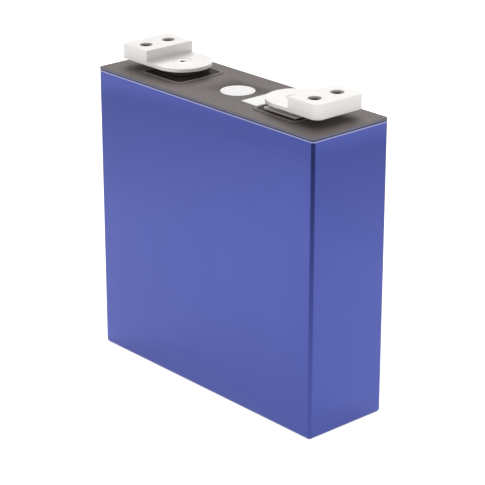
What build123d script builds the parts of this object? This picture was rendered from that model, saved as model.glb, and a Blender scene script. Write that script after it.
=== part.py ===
from build123d import *
import math
import os

# Prismatic lithium cell, standing on its base. All sizes are in millimetres.
# X runs along the cell's width, Y through its thickness and Z up. The origin is the centre of the base.

# Case
WIDTH = 174.0  # over the wrapping film
THICKNESS = 54.0
CORNER_R = 2.2
FILM_T = 0.2
FILM_TOP = 166.1
FILM_LIP = 8.0  # width of the film turned under the base
BOTTOM_SHEET_T = 0.3
CAN_WALL = 0.8
CAN_FLOOR = 1.2
CAN_BASE_R = 1.0
CAN_TOP = 167.4
COVER_T = 2.0
FIT = 0.05  # gap round pieces that are set into one another

# Top insulating sheet
SHEET_T = 0.3
SKIRT_BOTTOM = 166.4
RIM_IN = 15.0  # half widths of the raised rim round each terminal
RIM_OUT = 18.5
RIM_H = 0.9
RIM_R = 6.0
RIM_ROUND = 0.6
RIM_HOLLOW = 0.7

# Terminals, one at each end of the cover
TERMINAL_X = 46.0
PLATE_R = 16.5
PLATE_BOTTOM = 172.6
PLATE_TOP = 174.5
BLOCK_IN = 57.0
BLOCK_OUT = 78.5
BLOCK_TOP = 180.8
BLOCK_R_WIDE = 4.5  # one outer corner is rounded more than the rest
BLOCK_R = 2.0
HOLE_X = 67.8
HOLE_SPACING = 16.0
HOLE_R = 2.5  # core hole of an M6 thread
HOLE_DEPTH = 6.6
SINK_R = 3.7
SINK_DEPTH = 0.8
EDGE = 0.4  # broken edges round the top of the block
PLATE_EDGE = 0.25  # broken edges of the half-round plate

# Poles, seals and insulators
POLE_R = 5.5
DIMPLE_R = 1.5
DIMPLE_DEPTH = 1.2
FLANGE_R = 11.0
FLANGE_T = 1.6
SEAL_R = 7.9
SEAL_COLLAR_R = 10.0
SEAL_COLLAR_T = 0.7
POLE_HOLE_R = 8.0
SEAT_HALF = 14.9  # half width of the square plastic seats under the terminals
SEAT_R = 2.5
SEAT_DEPTH = 0.5  # depth to which they are let into the cover
SEAT_TOP = 168.0
PAD_HALF = 12.3  # square pad on each seat, of plastic or of clad metal
PAD_TOP = 169.0
PAD_R = 5.5
CLAD_R = 0.8
BOSS_R = 10.5  # round boss that carries the terminal's plate
LOWER_T = 1.5
LOWER_IN = 14.0
LOWER_OUT = 84.0
LOWER_HALF_Y = 24.0

# Vent and fill port
VENT_R = 7.5
VENT_SEAT_R = 9.0
DISC_T = 0.4
DISC_DEPTH = 1.0
SCORE_R = 6.0
VENT_COVER_R = 9.5
VENT_COVER_T = 0.15
SHEET_VENT_R = 8.2
BAFFLE_HALF_X = 13.0
BAFFLE_HALF_Y = 14.0
BAFFLE_SLOTS = 5
FILL_X = -23.0
FILL_R = 1.5
FILL_SEAT_R = 4.0
FILL_SEAT_DEPTH = 1.0
FILL_CAP_T = 0.8

# Label on the top sheet
LABEL_X = 14.8
LABEL_LENGTH = 12.6
LABEL_Y = -11.2
LABEL_WIDTH = 19.2
LABEL_T = 0.1

# Collectors and tabs
COLLECTOR_T = 1.5
COLLECTOR_IN = 22.0
COLLECTOR_OUT = 80.0
COLLECTOR_HALF_Y = 17.0
TAB_T = 1.2
TAB_WIDTH = 40.0
TAB_ROOT = 8.0  # depth of the foils where they leave the core
TAB_GATHER = 3.6  # height over which the foils are gathered
TAB_REACH = 3.0
TAPE_T = 0.2

# Wound cores
CORE_Y = 12.85
CORE_LENGTH = 168.4
CORE_BOTTOM = 2.6
CORE_TOP = 153.4
ANODE_MARGIN = 1.0  # the separators stand past the anode, and the anode past the cathode
CATHODE_MARGIN = 2.0
SLOT_R = 0.5  # half width of the slot that the winding mandrel leaves
TURNS = 5
ELECTRODE_T = 0.75
SEPARATOR_T = 0.15
WEB_GAP = 0.1
CORE_TAPE_HALF_X = 20.0
CORE_TAPE_H = 30.0
CORE_TAPE_T = 0.12

# Film bag and bottom support
BAG_T = 0.15
BAG_TOP = 156.0
SUPPORT_T = 0.5

can_width = WIDTH - 2 * FILM_T
can_thickness = THICKNESS - 2 * FILM_T
can_r = CORNER_R - FILM_T
can_bottom = BOTTOM_SHEET_T + FILM_T
inner_width = can_width - 2 * CAN_WALL
inner_thickness = can_thickness - 2 * CAN_WALL
inner_r = can_r - CAN_WALL
inner_bottom = can_bottom + CAN_FLOOR
cover_bottom = CAN_TOP - COVER_T
sheet_top = CAN_TOP + SHEET_T
flange_top = cover_bottom - LOWER_T
flange_bottom = flange_top - FLANGE_T
collector_bottom = flange_bottom - COLLECTOR_T
tab_bottom = collector_bottom - TAB_T
web_pitch = 2 * (ELECTRODE_T + SEPARATOR_T) + 4 * WEB_GAP
core_r = SLOT_R + (TURNS + 0.5) * web_pitch - WEB_GAP


def slab(width, depth, radius, bottom, top):
    """Upright prism with rounded vertical corners, centred on the Z axis."""
    outline = RectangleRounded(width, depth, radius)
    return extrude(Pos(0, 0, bottom) * outline, top - bottom)


def disc(radius, bottom, top, x=0.0, y=0.0):
    """Upright cylinder between two heights."""
    centre_z = (bottom + top) / 2
    return Pos(x, y, centre_z) * Cylinder(radius, top - bottom)


def block(x0, x1, y0, y1, bottom, top):
    """Plain box between its limits."""
    centre = Pos((x0 + x1) / 2, (y0 + y1) / 2, (bottom + top) / 2)
    return centre * Box(abs(x1 - x0), abs(y1 - y0), abs(top - bottom))


def turned(shape):
    """The same piece for the other end of the cell."""
    return Rot(0, 0, 180) * shape


def round_base(shape, radius):
    return fillet(shape.faces().sort_by(Axis.Z)[0].edges(), radius)


def wrap_film():
    outer = round_base(slab(WIDTH, THICKNESS, CORNER_R, BOTTOM_SHEET_T, FILM_TOP), CAN_BASE_R + FILM_T)
    inner = round_base(slab(can_width, can_thickness, can_r, can_bottom, FILM_TOP + 1), CAN_BASE_R)
    opening_width = WIDTH - 2 * FILM_LIP
    opening_thickness = THICKNESS - 2 * FILM_LIP
    opening = slab(opening_width, opening_thickness, CORNER_R, 0, can_bottom + 1)
    return outer - inner - opening


def bottom_sheet():
    return slab(WIDTH - 2, THICKNESS - 2, CORNER_R - 1, 0, BOTTOM_SHEET_T)


def can():
    outer = round_base(slab(can_width, can_thickness, can_r, can_bottom, CAN_TOP), CAN_BASE_R)
    inner = slab(inner_width, inner_thickness, inner_r, inner_bottom, CAN_TOP + 1)
    return outer - inner


def cover_plate():
    plate = slab(inner_width - 2 * FIT, inner_thickness - 2 * FIT, inner_r, cover_bottom, CAN_TOP)
    seat_half = SEAT_HALF + FIT
    for side in (-1, 1):
        plate -= disc(POLE_HOLE_R, cover_bottom - 1, CAN_TOP + 1, side * TERMINAL_X)
        seat = slab(2 * seat_half, 2 * seat_half, SEAT_R, CAN_TOP - SEAT_DEPTH, CAN_TOP + 1)
        plate -= Pos(side * TERMINAL_X, 0, 0) * seat
    plate -= disc(VENT_R, cover_bottom - 1, CAN_TOP + 1)
    plate -= disc(VENT_SEAT_R, CAN_TOP - DISC_DEPTH - DISC_T, CAN_TOP + 1)
    plate -= disc(FILL_R, cover_bottom - 1, CAN_TOP + 1, FILL_X)
    plate -= disc(FILL_SEAT_R, CAN_TOP - FILL_SEAT_DEPTH, CAN_TOP + 1, FILL_X)
    return plate


def rim_ring(half_in, half_out, bottom, top):
    """Square ring with rounded corners, the section of the raised rim."""
    outer = slab(2 * half_out, 2 * half_out, RIM_R, bottom, top)
    inner = slab(2 * half_in, 2 * half_in, RIM_R - (half_out - half_in), bottom - 1, top + 1)
    return outer - inner


def top_sheet():
    outer = slab(WIDTH, THICKNESS, CORNER_R, SKIRT_BOTTOM, sheet_top)
    top_edges = outer.faces().sort_by(Axis.Z)[-1].edges()
    outer = fillet(top_edges, 0.25)
    sheet = outer - slab(can_width, can_thickness, can_r, SKIRT_BOTTOM - 1, CAN_TOP)
    for side in (-1, 1):
        place = Pos(side * TERMINAL_X, 0, 0)
        rim = rim_ring(RIM_IN, RIM_OUT, CAN_TOP, sheet_top + RIM_H)
        rim = fillet(rim.faces().sort_by(Axis.Z)[-1].edges(), RIM_ROUND)
        hollow = rim_ring(RIM_IN + SHEET_T, RIM_OUT - SHEET_T, CAN_TOP - 1, CAN_TOP + RIM_HOLLOW)
        opening = slab(2 * RIM_IN, 2 * RIM_IN, RIM_R - (RIM_OUT - RIM_IN), CAN_TOP - 1, sheet_top + 5)
        sheet = sheet + place * rim
        sheet = sheet - place * hollow
        sheet = sheet - place * opening
    return sheet - disc(SHEET_VENT_R, CAN_TOP - 1, sheet_top + 1)


def vent_cover():
    return disc(VENT_COVER_R, sheet_top, sheet_top + VENT_COVER_T)


def blank_label():
    x1 = LABEL_X + LABEL_LENGTH
    y1 = LABEL_Y + LABEL_WIDTH
    return block(LABEL_X, x1, LABEL_Y, y1, sheet_top, sheet_top + LABEL_T)


def terminal():
    """Terminal of the +X end: half-round plate that runs into a block with two tapped holes."""
    plate = disc(PLATE_R, PLATE_BOTTOM, PLATE_TOP, TERMINAL_X)
    plate += block(TERMINAL_X, BLOCK_IN + 1, -PLATE_R, PLATE_R, PLATE_BOTTOM, PLATE_TOP)
    body = block(BLOCK_IN, BLOCK_OUT, -PLATE_R, PLATE_R, PLATE_BOTTOM, BLOCK_TOP)
    uprights = body.edges().filter_by(Axis.Z).group_by(Axis.X)[-1].sort_by(Axis.Y)
    body = fillet(uprights[0], BLOCK_R_WIDE)
    far_upright = body.edges().filter_by(Axis.Z).group_by(Axis.X)[-1].sort_by(Axis.Y)[-1]
    body = fillet(far_upright, BLOCK_R)
    body = chamfer(body.faces().sort_by(Axis.Z)[-1].edges(), EDGE)
    for side in (-1, 1):
        y = side * HOLE_SPACING / 2
        body -= disc(HOLE_R, BLOCK_TOP - HOLE_DEPTH, BLOCK_TOP + 1, HOLE_X, y)
        sink = Cone(HOLE_R, SINK_R, SINK_DEPTH)
        body -= Pos(HOLE_X, y, BLOCK_TOP - SINK_DEPTH / 2) * sink
    piece = plate + body
    rounds = piece.edges().filter_by(GeomType.CIRCLE).filter_by(lambda edge: edge.radius == PLATE_R)
    piece = chamfer(rounds, PLATE_EDGE)
    return piece - disc(POLE_R + FIT, PLATE_BOTTOM - 1, PLATE_TOP + 1, TERMINAL_X)


def pole():
    """Pole of the +X end: flange under the cover, shank through it, end flush with the plate."""
    shank = disc(POLE_R, flange_bottom, PLATE_TOP, TERMINAL_X)
    flange = disc(FLANGE_R, flange_bottom, flange_top, TERMINAL_X)
    dimple = disc(DIMPLE_R, PLATE_TOP - DIMPLE_DEPTH, PLATE_TOP + 1, TERMINAL_X)
    return shank + flange - dimple


def seal():
    """Seal of the +X end: sleeve in the cover's hole, with a collar that the flange squeezes."""
    sleeve = disc(SEAL_R, flange_top, CAN_TOP - SEAT_DEPTH, TERMINAL_X)
    collar = disc(SEAL_COLLAR_R, flange_top, flange_top + SEAL_COLLAR_T, TERMINAL_X)
    return sleeve + collar - disc(POLE_R + FIT, flange_top - 1, CAN_TOP + 1, TERMINAL_X)


def bored(shape):
    """A piece centred on the Z axis, moved to the +X end and bored for the pole."""
    return Pos(TERMINAL_X, 0, 0) * (shape - disc(POLE_R + FIT, CAN_TOP - 5, PLATE_TOP + 5))


def flat_seat():
    """Square plastic seat of the +X end, let into the cover."""
    return bored(slab(2 * SEAT_HALF, 2 * SEAT_HALF, SEAT_R, CAN_TOP - SEAT_DEPTH, SEAT_TOP))


def stepped_seat():
    """The same seat with a square pad and a round boss moulded on it, up to the terminal's plate."""
    pad = slab(2 * PAD_HALF, 2 * PAD_HALF, PAD_R, SEAT_TOP, PAD_TOP)
    boss = disc(BOSS_R, PAD_TOP, PLATE_BOTTOM)
    return flat_seat() + bored(pad + boss)


def transition_plate():
    """Square clad plate on the flat seat, with a round boss up to the terminal's plate."""
    pad = slab(2 * PAD_HALF, 2 * PAD_HALF, CLAD_R, SEAT_TOP, PAD_TOP)
    return bored(pad + disc(BOSS_R, PAD_TOP, PLATE_BOTTOM))


def lower_insulator():
    """Plastic plate under the +X half of the cover."""
    plate = block(LOWER_IN, LOWER_OUT, -LOWER_HALF_Y, LOWER_HALF_Y, flange_top, cover_bottom)
    plate = fillet(plate.edges().filter_by(Axis.Z), 2.0)
    plate -= disc(SEAL_COLLAR_R + FIT, flange_top - 1, flange_top + SEAL_COLLAR_T, TERMINAL_X)
    return plate - disc(SEAL_R + FIT, flange_top - 1, cover_bottom + 1, TERMINAL_X)


def fill_port_clearance():
    return disc(FILL_SEAT_R, flange_top - 1, cover_bottom + 1, FILL_X)


def burst_disc():
    """Foil disc with a ring and a cross scored into its top, so that it tears at a set pressure."""
    bottom = CAN_TOP - DISC_DEPTH - DISC_T
    foil = disc(VENT_SEAT_R - FIT, bottom, bottom + DISC_T)
    ring = disc(SCORE_R + 0.2, bottom + DISC_T / 2, bottom + 1) - disc(SCORE_R - 0.2, bottom, bottom + 1)
    bar = block(-SCORE_R, SCORE_R, -0.2, 0.2, bottom + DISC_T / 2, bottom + 1)
    return foil - ring - bar - Rot(0, 0, 90) * bar


def vent_baffle():
    """Slotted plastic guard that keeps the tabs away from the vent."""
    lip = 1.0
    frame = block(-BAFFLE_HALF_X, BAFFLE_HALF_X, -BAFFLE_HALF_Y, BAFFLE_HALF_Y, flange_bottom, cover_bottom)
    x = BAFFLE_HALF_X - lip
    y = BAFFLE_HALF_Y - lip
    frame -= block(-x, x, -y, y, flange_bottom + lip, cover_bottom + 1)
    pitch = 2 * x / BAFFLE_SLOTS
    for i in range(BAFFLE_SLOTS):
        slot_x = -x + pitch * (i + 0.5)
        slot_half = pitch / 2 - 0.8
        frame -= block(slot_x - slot_half, slot_x + slot_half, -y + 2, y - 2, flange_bottom - 1, flange_top)
    return frame


def fill_plug():
    shank = disc(FILL_R - FIT, cover_bottom, CAN_TOP - FILL_SEAT_DEPTH, FILL_X)
    head = disc(FILL_SEAT_R - 1.5, CAN_TOP - FILL_SEAT_DEPTH, CAN_TOP - FILL_CAP_T, FILL_X)
    return shank + head


def fill_cap():
    return disc(FILL_SEAT_R - FIT, CAN_TOP - FILL_CAP_T, CAN_TOP, FILL_X)


def collector():
    """Plate under the flange of the pole at the +X end, with a notch in its inner edge."""
    y = COLLECTOR_HALF_Y
    plate = block(COLLECTOR_IN, COLLECTOR_OUT, -y, y, collector_bottom, flange_bottom)
    plate = fillet(plate.edges().filter_by(Axis.Z), 3.0)
    notch = block(COLLECTOR_IN - 1, COLLECTOR_IN + 6, -4, 4, collector_bottom - 1, flange_bottom + 1)
    return plate - notch


def tab_stack():
    """Foil tabs of the front core at the +X end: gathered, stood up and folded under the collector."""
    middle = -CORE_Y
    half = TAB_T / 2
    gather_top = CORE_TOP + TAB_GATHER
    outline = Polyline(
        (middle - TAB_ROOT / 2, CORE_TOP),
        (middle + TAB_ROOT / 2, CORE_TOP),
        (middle + half, gather_top),
        (middle + half, tab_bottom),
        (-TAB_REACH, tab_bottom),
        (-TAB_REACH, collector_bottom),
        (middle - half, collector_bottom),
        (middle - half, gather_top),
        close=True,
    )
    centre_x = (COLLECTOR_IN + COLLECTOR_OUT) / 2
    section = Plane.YZ * make_face(outline)
    return Pos(centre_x - TAB_WIDTH / 2, 0, 0) * extrude(section, TAB_WIDTH)


def tab_tape():
    """Tape over the folded tabs of the +X end."""
    centre_x = (COLLECTOR_IN + COLLECTOR_OUT) / 2
    x0 = centre_x - TAB_WIDTH / 2 - 2
    x1 = centre_x + TAB_WIDTH / 2 + 2
    y = CORE_Y - TAB_T / 2 - FIT
    return block(x0, x1, -y, y, tab_bottom - TAPE_T, tab_bottom)


def winding_path(radius):
    """Edges and end point of a flat winding: straights joined by half circles that grow by turn."""
    half_length = CORE_LENGTH / 2 - core_r
    edges = []
    side = 1
    start = Vector(0, web_pitch / 2 - radius)
    first = start
    for _ in range(2 * TURNS):
        foot = Vector(side * half_length, start.Y)
        crown = Vector(side * half_length, start.Y + side * 2 * radius)
        bulge = Vector(side * (half_length + radius), start.Y + side * radius)
        edges.append(Edge.make_line(start, foot))
        edges.append(Edge.make_three_point_arc(foot, bulge, crown))
        start = Vector(0, crown.Y)
        edges.append(Edge.make_line(crown, start))
        side = -side
        radius += web_pitch / 2
    return edges, first, start


def web(offset, thickness, bottom, top):
    """One wound web of a core: a strip between two windings that are its thickness apart."""
    inner, inner_start, inner_end = winding_path(SLOT_R + offset)
    outer, outer_start, outer_end = winding_path(SLOT_R + offset + thickness)
    start_cap = Edge.make_line(inner_start, outer_start)
    end_cap = Edge.make_line(inner_end, outer_end)
    outline = Wire(inner + outer + [start_cap, end_cap])
    return Pos(0, 0, bottom) * extrude(Face(outline), top - bottom, dir=(0, 0, 1))


def core_webs(y):
    """Cathode, anode and the two separators of one core, wound together."""
    step = ELECTRODE_T + SEPARATOR_T + 2 * WEB_GAP
    place = Pos(0, y, 0)
    anode = web(0, ELECTRODE_T, CORE_BOTTOM + ANODE_MARGIN, CORE_TOP - ANODE_MARGIN)
    cathode = web(step, ELECTRODE_T, CORE_BOTTOM + CATHODE_MARGIN, CORE_TOP - CATHODE_MARGIN)
    gap = ELECTRODE_T + WEB_GAP
    separators = []
    for i in range(2):
        separators.append(place * web(gap + i * step, SEPARATOR_T, CORE_BOTTOM, CORE_TOP))
    return place * anode, place * cathode, Compound(children=separators)


def core_tape(y):
    """Tape that holds down the loose end of a winding, on the core's outer face."""
    z0 = (CORE_BOTTOM + CORE_TOP - CORE_TAPE_H) / 2
    face_y = y + math.copysign(core_r, y)
    outer_y = face_y + math.copysign(CORE_TAPE_T, y)
    return block(-CORE_TAPE_HALF_X, CORE_TAPE_HALF_X, face_y, outer_y, z0, z0 + CORE_TAPE_H)


def insulation_bag():
    outer = slab(inner_width - 2 * FIT, inner_thickness - 2 * FIT, inner_r, inner_bottom, BAG_TOP)
    shrink = 2 * (FIT + BAG_T)
    inner = slab(inner_width - shrink, inner_thickness - shrink, inner_r - BAG_T, inner_bottom + BAG_T, BAG_TOP + 1)
    return outer - inner


def bottom_support():
    bottom = inner_bottom + BAG_T
    plate = slab(inner_width - 2, inner_thickness - 2, inner_r - 1, bottom, bottom + SUPPORT_T)
    for i in range(-3, 4):
        for side in (-1, 1):
            plate -= disc(4.0, bottom - 1, bottom + 1, i * 22.0, side * CORE_Y)
    return plate


def write(node, shape):
    export_step(shape, f"parts/{node}.step")


os.makedirs("parts", exist_ok=True)

write("bottom_sheet", bottom_sheet())
write("wrap_film", wrap_film())
write("can", can())
write("cover_plate", cover_plate())
write("top_sheet", top_sheet())
write("vent_cover", vent_cover())
write("blank_label", blank_label())
write("burst_disc", burst_disc())
write("vent_baffle", vent_baffle())
write("fill_plug", fill_plug())
write("fill_cap", fill_cap())
write("insulation_bag", insulation_bag())
write("bottom_support", bottom_support())

write("negative_terminal", terminal())
write("positive_terminal", turned(terminal()))
write("negative_pole", pole())
write("positive_pole", turned(pole()))
write("negative_seal", seal())
write("positive_seal", turned(seal()))
write("negative_upper_insulator", flat_seat())
write("positive_upper_insulator", turned(stepped_seat()))
write("transition_plate", transition_plate())
write("negative_lower_insulator", lower_insulator())
write("positive_lower_insulator", turned(lower_insulator()) - fill_port_clearance())
write("negative_collector", collector())
write("positive_collector", turned(collector()))
write("negative_tab_tape", tab_tape())
write("positive_tab_tape", turned(tab_tape()))
write("front_negative_tabs", tab_stack())
write("rear_positive_tabs", turned(tab_stack()))
write("rear_negative_tabs", mirror(tab_stack(), about=Plane.XZ))
write("front_positive_tabs", turned(mirror(tab_stack(), about=Plane.XZ)))

for name, side in (("front", -1), ("rear", 1)):
    anode, cathode, separators = core_webs(side * CORE_Y)
    write(f"{name}_core_anode", anode)
    write(f"{name}_core_cathode", cathode)
    write(f"{name}_core_separators", separators)
    write(f"{name}_core_tape", core_tape(side * CORE_Y))
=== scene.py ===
import math

import bmesh
import bpy
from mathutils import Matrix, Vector


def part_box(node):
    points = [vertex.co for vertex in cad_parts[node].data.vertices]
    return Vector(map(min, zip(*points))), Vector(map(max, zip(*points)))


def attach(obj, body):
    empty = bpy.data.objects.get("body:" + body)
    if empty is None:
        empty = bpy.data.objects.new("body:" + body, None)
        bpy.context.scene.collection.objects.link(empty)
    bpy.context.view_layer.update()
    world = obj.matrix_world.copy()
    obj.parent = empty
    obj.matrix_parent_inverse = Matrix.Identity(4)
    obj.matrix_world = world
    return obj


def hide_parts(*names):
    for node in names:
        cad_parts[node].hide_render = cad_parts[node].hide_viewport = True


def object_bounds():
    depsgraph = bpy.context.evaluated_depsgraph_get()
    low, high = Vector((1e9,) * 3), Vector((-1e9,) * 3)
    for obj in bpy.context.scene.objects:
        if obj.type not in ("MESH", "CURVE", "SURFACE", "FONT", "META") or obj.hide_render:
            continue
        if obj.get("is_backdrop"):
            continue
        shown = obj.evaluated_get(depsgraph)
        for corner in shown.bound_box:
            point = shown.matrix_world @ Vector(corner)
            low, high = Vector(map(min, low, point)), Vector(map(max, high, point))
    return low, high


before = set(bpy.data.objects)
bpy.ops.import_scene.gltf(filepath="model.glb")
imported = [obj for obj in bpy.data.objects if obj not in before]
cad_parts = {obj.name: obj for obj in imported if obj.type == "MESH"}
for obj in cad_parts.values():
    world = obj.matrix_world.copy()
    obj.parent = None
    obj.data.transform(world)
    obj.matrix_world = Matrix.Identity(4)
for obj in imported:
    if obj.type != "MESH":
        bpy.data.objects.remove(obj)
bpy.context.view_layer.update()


# ---------------------------------------------------------------------------
# Studio: a wide glowing table, a pale surround, soft lights overhead, behind and in
# front, and a ring that only reflections see. A long lens looks down on a corner.
# ---------------------------------------------------------------------------
AZIMUTH = math.radians(48.27)
ELEVATION = math.radians(21.25)
CAMERA_DISTANCE = 1.0623
CAMERA_TARGET = Vector((0.01998, -0.01446, 0.0898))
LENS_MM = 146.1
SURROUND_STRENGTH = 0.35
TABLE_GLOW = 0.85
CARD_TOP_GLOW = 0.25

scene = bpy.context.scene
scene.view_settings.view_transform = "Standard"

world = bpy.data.worlds.new("white_surround")
world.use_nodes = True
world.node_tree.nodes["Background"].inputs["Color"].default_value = (1.0, 1.0, 1.0, 1.0)
world.node_tree.nodes["Background"].inputs["Strength"].default_value = SURROUND_STRENGTH
scene.world = world

camera_data = bpy.data.cameras.new("camera")
camera_data.sensor_width = 36.0
camera_data.lens = LENS_MM
camera = bpy.data.objects.new("camera", camera_data)
scene.collection.objects.link(camera)
towards_camera = Vector((
    math.sin(AZIMUTH) * math.cos(ELEVATION),
    -math.cos(AZIMUTH) * math.cos(ELEVATION),
    math.sin(ELEVATION),
))
camera.location = CAMERA_TARGET + towards_camera * CAMERA_DISTANCE
camera.rotation_mode = "QUATERNION"
camera.rotation_quaternion = (-towards_camera).to_track_quat("-Z", "Y")
scene.camera = camera


def soft_light(name, direction, strength, spread, gloss=True):
    """Broad even light that shines along a direction, kept out of reflections where gloss is False."""
    data = bpy.data.lights.new(name, "SUN")
    data.energy = strength
    data.angle = math.radians(spread)
    light = bpy.data.objects.new(name, data)
    light.rotation_mode = "QUATERNION"
    light.rotation_quaternion = Vector(direction).to_track_quat("-Z", "Y")
    light.visible_glossy = gloss
    scene.collection.objects.link(light)


soft_light("overhead_light", (0.0, 0.0, -1.0), 0.9, 60, gloss=False)
soft_light("rear_light", (0.66, -0.75, -1.15), 1.4, 50)
soft_light("front_fill", (-0.66, 0.75, -0.1), 0.7, 40, gloss=False)


def plain_material(name):
    """New node material with its shader and its Object coordinates."""
    material = bpy.data.materials.new(name)
    material.use_nodes = True
    tree = material.node_tree
    coordinates = tree.nodes.new("ShaderNodeTexCoord")
    return material, tree, tree.nodes["Principled BSDF"], coordinates.outputs["Object"]


def glowing_paint(name):
    """New pale matt paint that glows white, as plain_material returns it."""
    paint, tree, shader, coordinates = plain_material(name)
    shader.inputs["Base Color"].default_value = (0.6, 0.6, 0.6, 1.0)
    shader.inputs["Emission Color"].default_value = (1.0, 1.0, 1.0, 1.0)
    shader.inputs["Emission Strength"].default_value = TABLE_GLOW
    shader.inputs["Roughness"].default_value = 0.9
    shader.inputs["Specular IOR Level"].default_value = 0.1
    return paint, tree, shader, coordinates


def mapped(tree, value, from_min=0.0, from_max=1.0, to_min=0.0, to_max=1.0):
    """Map Range node fed by one value."""
    node = tree.nodes.new("ShaderNodeMapRange")
    node.inputs["From Min"].default_value = from_min
    node.inputs["From Max"].default_value = from_max
    node.inputs["To Min"].default_value = to_min
    node.inputs["To Max"].default_value = to_max
    tree.links.new(value, node.inputs["Value"])
    return node


FLOOR_HALF = 12.0
floor_mesh = bpy.data.meshes.new("floor")
floor_corners = [(-1, -1), (1, -1), (1, 1), (-1, 1)]
floor_points = [(x * FLOOR_HALF, y * FLOOR_HALF, 0.0) for x, y in floor_corners]
floor_mesh.from_pydata(floor_points, [], [(0, 1, 2, 3)])
floor = bpy.data.objects.new("floor", floor_mesh)
scene.collection.objects.link(floor)
floor_mesh.materials.append(glowing_paint("floor_paint")[0])
floor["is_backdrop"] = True


CARD_RADIUS = 0.30
CARD_HEIGHT = 0.10
CARD_SIDES = 96

card_ring = [2 * math.pi * i / CARD_SIDES for i in range(CARD_SIDES)]
card_points = [(CARD_RADIUS * math.cos(a), CARD_RADIUS * math.sin(a), 0.0) for a in card_ring]
card_points += [(x, y, CARD_HEIGHT) for x, y, _ in card_points]
card_mesh = bpy.data.meshes.new("shade_card")
card_faces = []
for i in range(CARD_SIDES):
    j = (i + 1) % CARD_SIDES
    card_faces.append((i, j, j + CARD_SIDES, i + CARD_SIDES))
card_mesh.from_pydata(card_points, [], card_faces)
card = bpy.data.objects.new("shade_card", card_mesh)
scene.collection.objects.link(card)
card_paint, card_tree, card_shader, card_place = glowing_paint("card_paint")
card_split = card_tree.nodes.new("ShaderNodeSeparateXYZ")
card_tree.links.new(card_place, card_split.inputs["Vector"])
card_fade = mapped(
    card_tree, card_split.outputs["Z"], from_max=CARD_HEIGHT, to_min=TABLE_GLOW, to_max=CARD_TOP_GLOW)
card_tree.links.new(card_fade.outputs["Result"], card_shader.inputs["Emission Strength"])
card_mesh.materials.append(card_paint)
card.visible_camera = False
card.visible_diffuse = False
card.visible_shadow = False
card.visible_transmission = False
card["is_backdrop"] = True


# ---------------------------------------------------------------------------
# Can and cover: deep-drawn aluminium can and the machined lid welded into it.
# The can keeps upright draw marks, the lid fine lengthwise rolling marks.
# ---------------------------------------------------------------------------
MM = 0.001
# Painted shade: the can is painted near black just above the film's top edge, for the shadowed gap between
# the film and the sheet's skirt.
GAP_SHADE_FROM = 0.6
GAP_SHADE_FULL = 0.4  # both below the film's top edge
GAP_SHADE_DARK = (0.02, 0.02, 0.035, 1.0)


def tone(colour, factor):
    """A colour made lighter or darker, with its alpha."""
    return tuple(min(channel * factor, 1.0) for channel in colour) + (1.0,)


def noise(tree, coordinates, scale, detail=2.0, roughness=0.5):
    """Noise Texture node on the given coordinates."""
    node = tree.nodes.new("ShaderNodeTexNoise")
    node.inputs["Scale"].default_value = scale
    node.inputs["Detail"].default_value = detail
    node.inputs["Roughness"].default_value = roughness
    tree.links.new(coordinates, node.inputs["Vector"])
    return node


def bumped(tree, height, strength, distance):
    """Bump node fed by one height."""
    node = tree.nodes.new("ShaderNodeBump")
    node.inputs["Strength"].default_value = strength
    node.inputs["Distance"].default_value = distance
    tree.links.new(height, node.inputs["Height"])
    return node


def mixed(tree, factor, first, second):
    """Mix node between two colours, each a constant or another node's output."""
    node = tree.nodes.new("ShaderNodeMix")
    node.data_type = "RGBA"
    tree.links.new(factor, node.inputs["Factor"])
    for place, colour in ((6, first), (7, second)):
        if isinstance(colour, tuple):
            node.inputs[place].default_value = colour
        else:
            tree.links.new(colour, node.inputs[place])
    return node


def recolour_by_height(material, from_z, to_z, below=None, above=None):
    """Blends a material's colour from below one height to above another. None keeps its own."""
    tree = material.node_tree
    shader = tree.nodes["Principled BSDF"]
    own = shader.inputs["Base Color"].links[0].from_socket
    split = tree.nodes.new("ShaderNodeSeparateXYZ")
    tree.links.new(tree.nodes["Texture Coordinate"].outputs["Object"], split.inputs["Vector"])
    height = mapped(tree, split.outputs["Z"], from_z, to_z)
    blend = mixed(tree, height.outputs["Result"], below or own, above or own)
    tree.links.new(blend.outputs[2], shader.inputs["Base Color"])


def grained_material(name, colour, stretch, metal, rough, contrast=0.12, bump=0.15, bump_mm=0.02):
    """Material whose colour, gloss and relief follow one noise, drawn out along the axes in stretch."""
    material, tree, shader, coordinates = plain_material(name)
    nodes = tree.nodes
    links = tree.links
    mapping = nodes.new("ShaderNodeMapping")
    mapping.inputs["Scale"].default_value = stretch
    links.new(coordinates, mapping.inputs["Vector"])
    grain = noise(tree, mapping.outputs["Vector"], 1.0, detail=6.0, roughness=0.6)
    ramp = nodes.new("ShaderNodeValToRGB")
    ramp.color_ramp.elements[0].position = 0.3
    ramp.color_ramp.elements[0].color = tone(colour, 1.0 - contrast)
    ramp.color_ramp.elements[1].position = 0.7
    ramp.color_ramp.elements[1].color = tone(colour, 1.0 + contrast)
    links.new(grain.outputs["Fac"], ramp.inputs["Fac"])
    links.new(ramp.outputs["Color"], shader.inputs["Base Color"])
    gloss = mapped(tree, grain.outputs["Fac"], to_min=rough - 0.08, to_max=rough + 0.08)
    links.new(gloss.outputs["Result"], shader.inputs["Roughness"])
    relief = bumped(tree, grain.outputs["Fac"], bump, bump_mm * MM)
    links.new(relief.outputs["Normal"], shader.inputs["Normal"])
    shader.inputs["Metallic"].default_value = metal
    return material


def coat_node(node, material):
    """Gives a CAD node its material."""
    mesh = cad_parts[node].data
    mesh.materials.clear()
    mesh.materials.append(material)


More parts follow.
